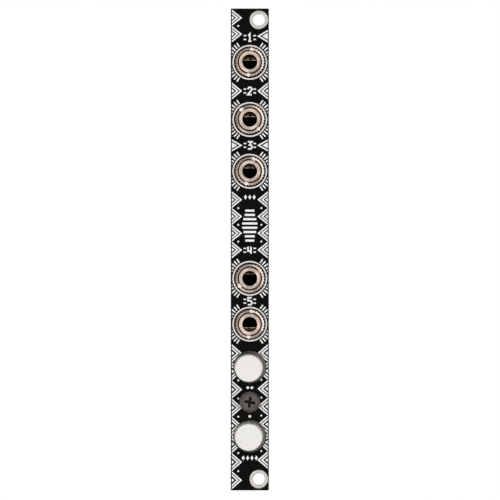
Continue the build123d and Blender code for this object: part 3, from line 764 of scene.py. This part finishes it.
def printed_ink(name):
    """White ink, a little uneven."""
    made, tree, shader = new_material(name)
    shade = blend(tree, noise(tree, scale=2.2), ink_shade, ink_white)
    tree.links.new(shade, shader.inputs["Base Color"])
    rough = spread(tree, noise(tree, scale=4.0), low=0.42, high=0.58)
    tree.links.new(rough, shader.inputs["Roughness"])
    relief(tree, shader, noise(tree, scale=9.0, detail=4.0), depth=0.004)
    return made


def axis_distance(tree, axes):
    """How far a point lies from the nearest of some axes along the depth, in metres."""
    place = add_node(tree, "ShaderNodeSeparateXYZ", {0: place_on(tree)})
    nearest = None
    for axis in axes:
        steps = (("X", axis.x), ("Z", axis.z))
        ways = [maths(tree, "SUBTRACT", place.outputs[part], value) for part, value in steps]
        squares = maths(tree, "ADD", *[maths(tree, "POWER", way, 2.0) for way in ways])
        nearest = squares if nearest is None else maths(tree, "MINIMUM", nearest, squares)
    return maths(tree, "SQRT", nearest)


def turning_marks(tree, axes, scale):
    """Noise in circles round the nearest of the axes, scale times to the millimetre."""
    links = {"X": axis_distance(tree, axes), "Y": along(tree, "Y")}
    point = add_node(tree, "ShaderNodeCombineXYZ", links).outputs[0]
    scales = [scale / mm, scale / mm, 1.0]
    mapped = add_node(tree, "ShaderNodeMapping", {"Vector": point, "Scale": scales})
    links = {"Vector": mapped.outputs[0], "Scale": 1.0, "Detail": 3.0}
    return add_node(tree, "ShaderNodeTexNoise", links).outputs["Fac"]


def turned_metal(name, tint, roughness, axes, metallic=1.0, depth=0.006):
    """Turned metal: grooves in circles round the nearest of the axes, under a blotchy patina."""
    made, tree, shader = new_material(name)
    fine = turning_marks(tree, axes, scale=8.0)
    coarse = turning_marks(tree, axes, scale=2.4)
    patina = noise(tree, scale=0.55, detail=4.0)
    circles = eased(tree, coarse, start=0.38, end=0.58, low=-0.5, high=0.5)
    worn = maths(tree, "ADD", circles, eased(tree, patina, start=0.3, end=0.7))
    tree.links.new(blend(tree, worn, shaded(tint, share=0.55), tint), shader.inputs["Base Color"])
    shader.inputs["Metallic"].default_value = metallic
    grooved = around(tree, fine, roughness, below=0.08, above=0.1)
    rough = maths(tree, "ADD", grooved, spread(tree, patina, low=0.0, high=0.1))
    tree.links.new(rough, shader.inputs["Roughness"])
    relief(tree, shader, maths(tree, "ADD", fine, maths(tree, "MULTIPLY", coarse, coarse_weight)), depth)
    return made


def nickel_plate(name):
    """Turned nickel, rougher and darkened as painted shade in the bore and the thread, with a painted
    highlight on the notch floors.
    """
    made = turned_metal(name, nickel_warm, roughness=0.21, axes=jack_axes)
    tree = made.node_tree
    away = axis_distance(tree, jack_axes)
    # Painted shade: the plating in the bore is made rougher and its colour darkened, for the shade deep in
    # the bore
    bore = eased(tree, away, bore_shade_full * mm, bore_rim * mm, low=1.0, high=0.0)
    over(made, bore, bore_painted_shade, roughness=0.45)
    # Painted shade: a dark, rougher ring in the crease between the bushing's thread and the nut's bore
    thread = band(tree, away, thread_ring * mm, thread_ring_half * mm)
    over(made, thread, thread_painted_shade, roughness=0.5)
    # Painted highlight: the floors of the spanner notches are made pale, as if lit, and rougher
    floors = band(tree, along(tree, "Y"), notch_floor_depth * mm, notch_floor_half * mm)
    return over(made, floors, notch_painted_highlight, roughness=0.5)


def blackened_screws(name):
    """Blackened steel, with painted shade, near black, in the driver's recesses."""
    made = turned_metal(name, screw_black, roughness=0.5, axes=screw_axis, metallic=0.45, depth=0.004)
    tree = made.node_tree
    low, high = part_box("standoff_screws")
    depth = distance(tree, along(tree, "Y"), (low.y + high.y) / 2)
    sunk = maths(tree, "LESS_THAN", depth, (high.y - low.y) / 2 - recess_lip * mm)
    within = maths(tree, "LESS_THAN", axis_distance(tree, screw_axis), recess_reach * mm)
    # Painted shade: the driver's recesses are made near black and matt
    recess = maths(tree, "MULTIPLY", sunk, within)
    return over(made, recess, recess_painted_shade, metallic=0.0, roughness=0.8)


def plain_metal(name, tint, roughness, grain=2.0, metallic=1.0, stretch=(1, 1, 1), depth=0.004):
    """Drawn or plated metal under a light patina."""
    made, tree, shader = new_material(name)
    patina = noise(tree, scale=0.8, detail=4.0)
    tree.links.new(blend(tree, patina, shaded(tint, share=0.78), tint), shader.inputs["Base Color"])
    shader.inputs["Metallic"].default_value = metallic
    surface = noise(tree, grain, stretch=stretch)
    rough = around(tree, surface, roughness, below=0.08, above=0.14)
    tree.links.new(rough, shader.inputs["Roughness"])
    relief(tree, shader, surface, depth)
    return made


def moulded(name, tint, roughness, specular=0.5, grain=4.0, depth=0.004, mottle=0.85):
    """Moulded plastic with a fine grain."""
    made, tree, shader = new_material(name)
    shade = blend(tree, noise(tree, scale=0.5), shaded(tint, mottle), tint)
    tree.links.new(shade, shader.inputs["Base Color"])
    surface = noise(tree, grain, detail=4.0)
    rough = around(tree, surface, roughness, below=0.06, above=0.1)
    tree.links.new(rough, shader.inputs["Roughness"])
    shader.inputs["Specular IOR Level"].default_value = specular
    relief(tree, shader, surface, depth)
    return made


def cap_plastic(name):
    """Milky white plastic that lets a little light into its skin."""
    made = moulded(name, cap_milk, roughness=0.32, grain=1.6, depth=0.003, mottle=0.97)
    skin = {
        "Subsurface Weight": 0.2,
        "Subsurface Radius": (1.0, 0.95, 0.9),
        "Subsurface Scale": 0.4 * mm,
        "Coat Weight": 0.15,
        "Coat Roughness": 0.12,
    }
    for socket, value in skin.items():
        made.node_tree.nodes["Principled BSDF"].inputs[socket].default_value = value
    return made


def tinned_ring(name):
    """Tin on copper that has run into a low dome between the hole and the rim."""
    made = plain_metal(name, ring_tin, roughness=0.34, grain=1.5)
    tree = made.node_tree
    rings = solids("rack_hole_rings")
    centres = [(low + high) / 2 for low, high in rings]
    ring_low, ring_high = rings[0]
    rim = (ring_high.x - ring_low.x) / 2
    dome = band(tree, axis_distance(tree, centres), rim * dome_middle_share, rim * dome_half_share)
    relief(tree, tree.nodes["Principled BSDF"], dome, dome_height)
    return made


def contact_leaf(name):
    """Bronze leaf, darkened as painted shade, with wear and painted reflection on its slope, and a painted
    highlight along the ridge where plugs slide over it.
    """
    # Painted shade: the leaf's bronze is far darker than the bronze strips, for the shade deep in the bore
    made = plain_metal(name, leaf_bronze_painted_shade, roughness=0.42, metallic=0.55, stretch=(1, 0.15, 1))
    tree = made.node_tree
    depth = along(tree, "Y")
    # Lighter patches on the slope before the ridge: wear from plugs, with painted reflection
    slope = eased(tree, depth, (ridge_depth - slope_reach) * mm, ridge_depth * mm)
    patches = eased(tree, noise(tree, scale=0.6), start=0.42, end=0.58)
    over(made, maths(tree, "MULTIPLY", slope, patches), leaf_wear_and_sheen)
    # Painted highlight: a pale line along the ridge where plugs slide over it
    ridge = band(tree, depth, ridge_depth * mm, ridge_half * mm)
    return over(made, ridge, leaf_painted_highlight, metallic=0.2, roughness=0.4)


def from_middle(tree):
    """How far a point on the board lies sideways from the board's middle."""
    return distance(tree, along(tree, "X"), centre_x)


def column_distance(tree):
    """How far a point on the board lies sideways from the middle of its column of small parts."""
    return distance(tree, from_middle(tree), small_column * mm)


def with_tinned_ends(made, reach, source=column_distance):
    """Tin beyond a distance from the middle of a part, on its ends, tabs or leads."""
    tree = made.node_tree
    ends = maths(tree, "GREATER_THAN", source(tree), reach * mm)
    return over(made, ends, end_tin, metallic=1.0, roughness=0.32)


def resin(name):
    """Black resin with a rather fine grain."""
    return moulded(name, resin_black, roughness=0.5, grain=8.0)


def chip_body(name):
    """Black resin with tinned leads, and a dimple beside the first lead of each chip."""
    made = with_tinned_ends(resin(name), chip_body_half, from_middle)
    tree = made.node_tree
    across = centre_x + (chip_body_half - dimple_in) * mm
    corners = [Vector((across, 0, high.z - dimple_drop * mm)) for _, high in solids("op_amps")]
    dimple = band(tree, axis_distance(tree, corners), 0.0, dimple_radius * mm)
    return over(made, dimple, dimple_black, roughness=0.25)


def diode_body(name):
    """Black resin with tinned tabs and a pale bar at the cathode's end."""
    made = with_tinned_ends(resin(name), diode_body_end)
    tree = made.node_tree
    bar = band(tree, from_middle(tree), (small_column + cathode_out) * mm, cathode_half * mm)
    return over(made, bar, cathode_grey, roughness=0.5)


def capacitor_can(name):
    """Bare aluminium can with a dark bar on its top, on a black base."""
    made = plain_metal(name, can_grey, roughness=0.28)
    tree = made.node_tree
    low, high = solids("electrolytic_capacitors")[0]
    top = maths(tree, "GREATER_THAN", along(tree, "Y"), high.y - can_mark_depth * mm)
    edge = maths(tree, "GREATER_THAN", along(tree, "X"), centre_x + can_mark_out * mm)
    over(made, maths(tree, "MULTIPLY", top, edge), can_mark_black, metallic=0.0, roughness=0.4)
    base = maths(tree, "LESS_THAN", along(tree, "Y"), low.y + (can_base - can_base_edge) * mm)
    return over(made, base, can_base_black, metallic=0.0, roughness=0.5)


def dress(names, finish):
    """Gives a finish to nodes."""
    for name in names:
        piece = nodes[name]
        if not piece.material_slots:
            piece.data.materials.append(finish)
        for slot in piece.material_slots:
            slot.material = finish


dress([*of_each(jacks, "jack", "bushing"), "jack_nuts"], nickel_plate("nickel"))
dress(["front_panel"], solder_mask("black_mask", mask_black, specular=0.04, roughness=0.32))
dress(["main_board"], board_mask("green_mask"))
dress(["rack_hole_rings"], tinned_ring("tinned_copper"))
dress(["standoff_screws"], blackened_screws("black_oxide"))
dress(["standoff"], plain_metal("nickel_hex", hex_nickel, roughness=0.25, stretch=(1, 0.1, 1)))

jack_plastic = moulded("jack_plastic", jack_black, roughness=0.5, specular=0.35)
bronze = plain_metal("bronze_strip", strip_bronze, roughness=0.26, stretch=(1, 0.15, 1))
dress(of_each(jacks, "jack", "housing"), jack_plastic)
dress(of_each(jacks, "jack", "tip_terminal", "switch_contact"), bronze)
dress(of_each(jacks, "jack", "tip_spring"), contact_leaf("bronze_leaf"))
dress(of_each(jacks, "jack", "sleeve_contact"), plain_metal("tinned_strip", strip_tin, roughness=0.3))

silver = plain_metal("silver_plate", silver_pale, roughness=0.2)
dress(of_each(buttons, "button", "cap"), cap_plastic("cap_white"))
dress(of_each(buttons, "button", "plunger"), moulded("plunger_white", plunger_pale, roughness=0.4))
dress(of_each(buttons, "button", "housing"), moulded("button_olive", housing_olive, roughness=0.5))
dress(of_each(buttons, "button", "base"), moulded("button_black", base_black, roughness=0.5))
dress(of_each(buttons, "button", "spring"), plain_metal("spring_steel", spring_grey, roughness=0.25))
dress(of_each(buttons, "button", "terminals", "bridge"), silver)
dress(of_each(buttons, "button", "light"), moulded("milky_lens", lens_milk, roughness=0.2))

glaze = moulded("resistor_glaze", glaze_black, roughness=0.25)
ceramic = moulded("capacitor_body", ceramic_brown, roughness=0.35)
solder = plain_metal("solder", solder_grey, roughness=0.2, grain=1.0)
dress(["power_header_block"], moulded("header_plastic", header_black, roughness=0.45))
dress(["power_header_pins"], plain_metal("gold_flash", pin_gold, roughness=0.2))
dress(["op_amps"], chip_body("chip_resin"))
dress(["protection_diodes"], diode_body("diode_resin"))
dress(["resistors"], with_tinned_ends(glaze, resistor_end))
dress(["ceramic_capacitors"], with_tinned_ends(ceramic, capacitor_end))
dress(["electrolytic_capacitors"], capacitor_can("aluminium_can"))
dress(["solder_joints"], solder)

white_ink = printed_ink("white_ink")
covered_copper = solder_mask("green_trace", trace_green, specular=0.45, roughness=0.26)
panel_print = make_panel_print()
board_print, board_traces, board_vias = make_board_layers()
layer_finishes = (
    (panel_print, white_ink, "panel_black"),
    (board_print, white_ink, "board_green"),
    (board_traces, covered_copper, "board_green"),
    (board_vias, solder, "solder"),
)
for piece, finish, slot in layer_finishes:
    piece.data.materials.append(finish)
    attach(piece, "root")


def return_spring(number):
    """A copy of a button's return spring, carried by the root in place of the part's own spring, which is
    hidden.
    """
    node = f"button_{number}_spring"
    coil = new_object(f"button_{number}_coil", nodes[node].data.copy())
    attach(coil, "root")
    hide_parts(node)
    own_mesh(coil)


for number in buttons:
    return_spring(number)

# Studio: white all round for the camera, and a darker room on the viewer's side. An edge says between which
# two values a light fades, as the part of a direction that points into the depth, up, right or to the box
front_glow = 0.78
front_side = 0.28
front_edge = (-0.95, -0.72)
viewer_edge = (0.0, 0.2)
low_light = 0.3
low_edge = (-0.8, -0.2)
left_light = 1.6
left_edge = (-0.99, -0.9)
box_light = 1.5
box_depth = -0.55
box_half = 0.2
box_side = (0.96, 0.0, 0.28)
box_edge = (0.3, 0.6)
rear_light = 0.6
rear_edge = (-0.1, 0.35)


def make_world():
    """The studio's light, and white for the camera all round and for reflections that lead to the rear."""
    world = bpy.data.worlds.new("studio")
    world.use_nodes = True
    tree = world.node_tree
    background = tree.nodes["Background"]
    rays = add_node(tree, "ShaderNodeLightPath").outputs
    way = add_node(tree, "ShaderNodeTexCoord").outputs["Generated"]
    split = add_node(tree, "ShaderNodeSeparateXYZ", {0: way}).outputs
    depth = split["Y"]
    glow = eased(tree, depth, *front_edge, low=front_glow, high=front_side)
    before = eased(tree, depth, *viewer_edge, low=1.0, high=0.0)
    below = eased(tree, split["Z"], *low_edge, low=low_light, high=0.0)
    left = eased(tree, split["X"], *left_edge, low=left_light, high=0.0)
    links = {0: way, 1: box_side}
    aside = add_node(tree, "ShaderNodeVectorMath", links, operation="DOT_PRODUCT").outputs["Value"]
    arc = eased(tree, aside, *box_edge, low=0.0, high=box_light)
    box = maths(tree, "MULTIPLY", band(tree, depth, box_depth, box_half), arc)
    sides = maths(tree, "MULTIPLY", maths(tree, "ADD", below, left), before)
    front = maths(tree, "ADD", maths(tree, "ADD", glow, sides), box)
    room = eased(tree, depth, *rear_edge, low=0.0, high=rear_light)
    behind = eased(tree, depth, *rear_edge)
    mirrored = maths(tree, "ADD", rays["Is Glossy Ray"], rays["Is Transmission Ray"])
    seen = maths(tree, "MULTIPLY", mirrored, behind)
    backdrop = maths(tree, "MAXIMUM", rays["Is Camera Ray"], seen)
    level = maths(tree, "MAXIMUM", maths(tree, "MAXIMUM", front, room), backdrop)
    tree.links.new(level, background.inputs["Strength"])
    background.inputs["Color"].default_value = white
    bpy.context.scene.world = world


def add_light(name, place, size, power, tint=(1.0, 1.0, 1.0)):
    """A soft lamp that points at the frame's origin."""
    data = bpy.data.lights.new(name, "AREA")
    data.shape = "RECTANGLE"
    data.size, data.size_y = size
    data.energy = power
    data.color = tint
    lamp = new_object(name, data)
    lamp.location = Vector(place)
    lamp.rotation_mode = "QUATERNION"
    lamp.rotation_quaternion = (-Vector(place)).to_track_quat("-Z", "Y")
    lamp.visible_camera = False
    return lamp


make_world()
add_light("key", place=(-0.36, -0.88, -0.05), size=(0.55, 1.3), power=4.2, tint=(1.0, 0.985, 0.965))
add_light("rear", place=(0.3, 0.9, 0.5), size=(0.6, 0.6), power=2.2)

# A small lamp beside the camera that reaches down the jacks' bores to their tip springs alone
contact_light = add_light(
    "contact_light", place=(0.0, -0.93, 0.03), size=(0.05, 0.05), power=18.0, tint=(1.0, 0.95, 0.86)
)
contacts = bpy.data.collections.new("jack_contacts")
for name in of_each(jacks, "jack", "tip_spring"):
    contacts.objects.link(nodes[name])
contact_light.light_linking.receiver_collection = contacts

# Floor, far enough below to stay out of the views from the front and the sides
floor_drop = 0.75
floor_size = 2.4
floor_corners = [(x, y, -floor_drop) for x, y in rectangle(Vector((0, 0)), floor_size, floor_size)]
floor_mesh = bpy.data.meshes.new("floor")
floor_mesh.from_pydata(floor_corners, [], [(0, 1, 2, 3)])
floor_finish = moulded(
    "floor_pale", floor_grey, roughness=0.8, specular=0.2, grain=0.02, depth=0.001, mottle=0.99
)
floor_mesh.materials.append(floor_finish)
new_object("floor", floor_mesh)

camera_data = bpy.data.cameras.new("camera")
camera_data.sensor_width = sensor_width
camera_data.lens = sensor_width * camera_distance / frame_width
camera_data.clip_start = camera_clip
camera = new_object("camera", camera_data)
camera.location = (centre_x + camera_right, panel_low.y - camera_distance, camera_rise)
camera.rotation_euler = (pi / 2, 0, 0)
bpy.context.scene.camera = camera
bpy.context.scene.view_settings.view_transform = "Standard"
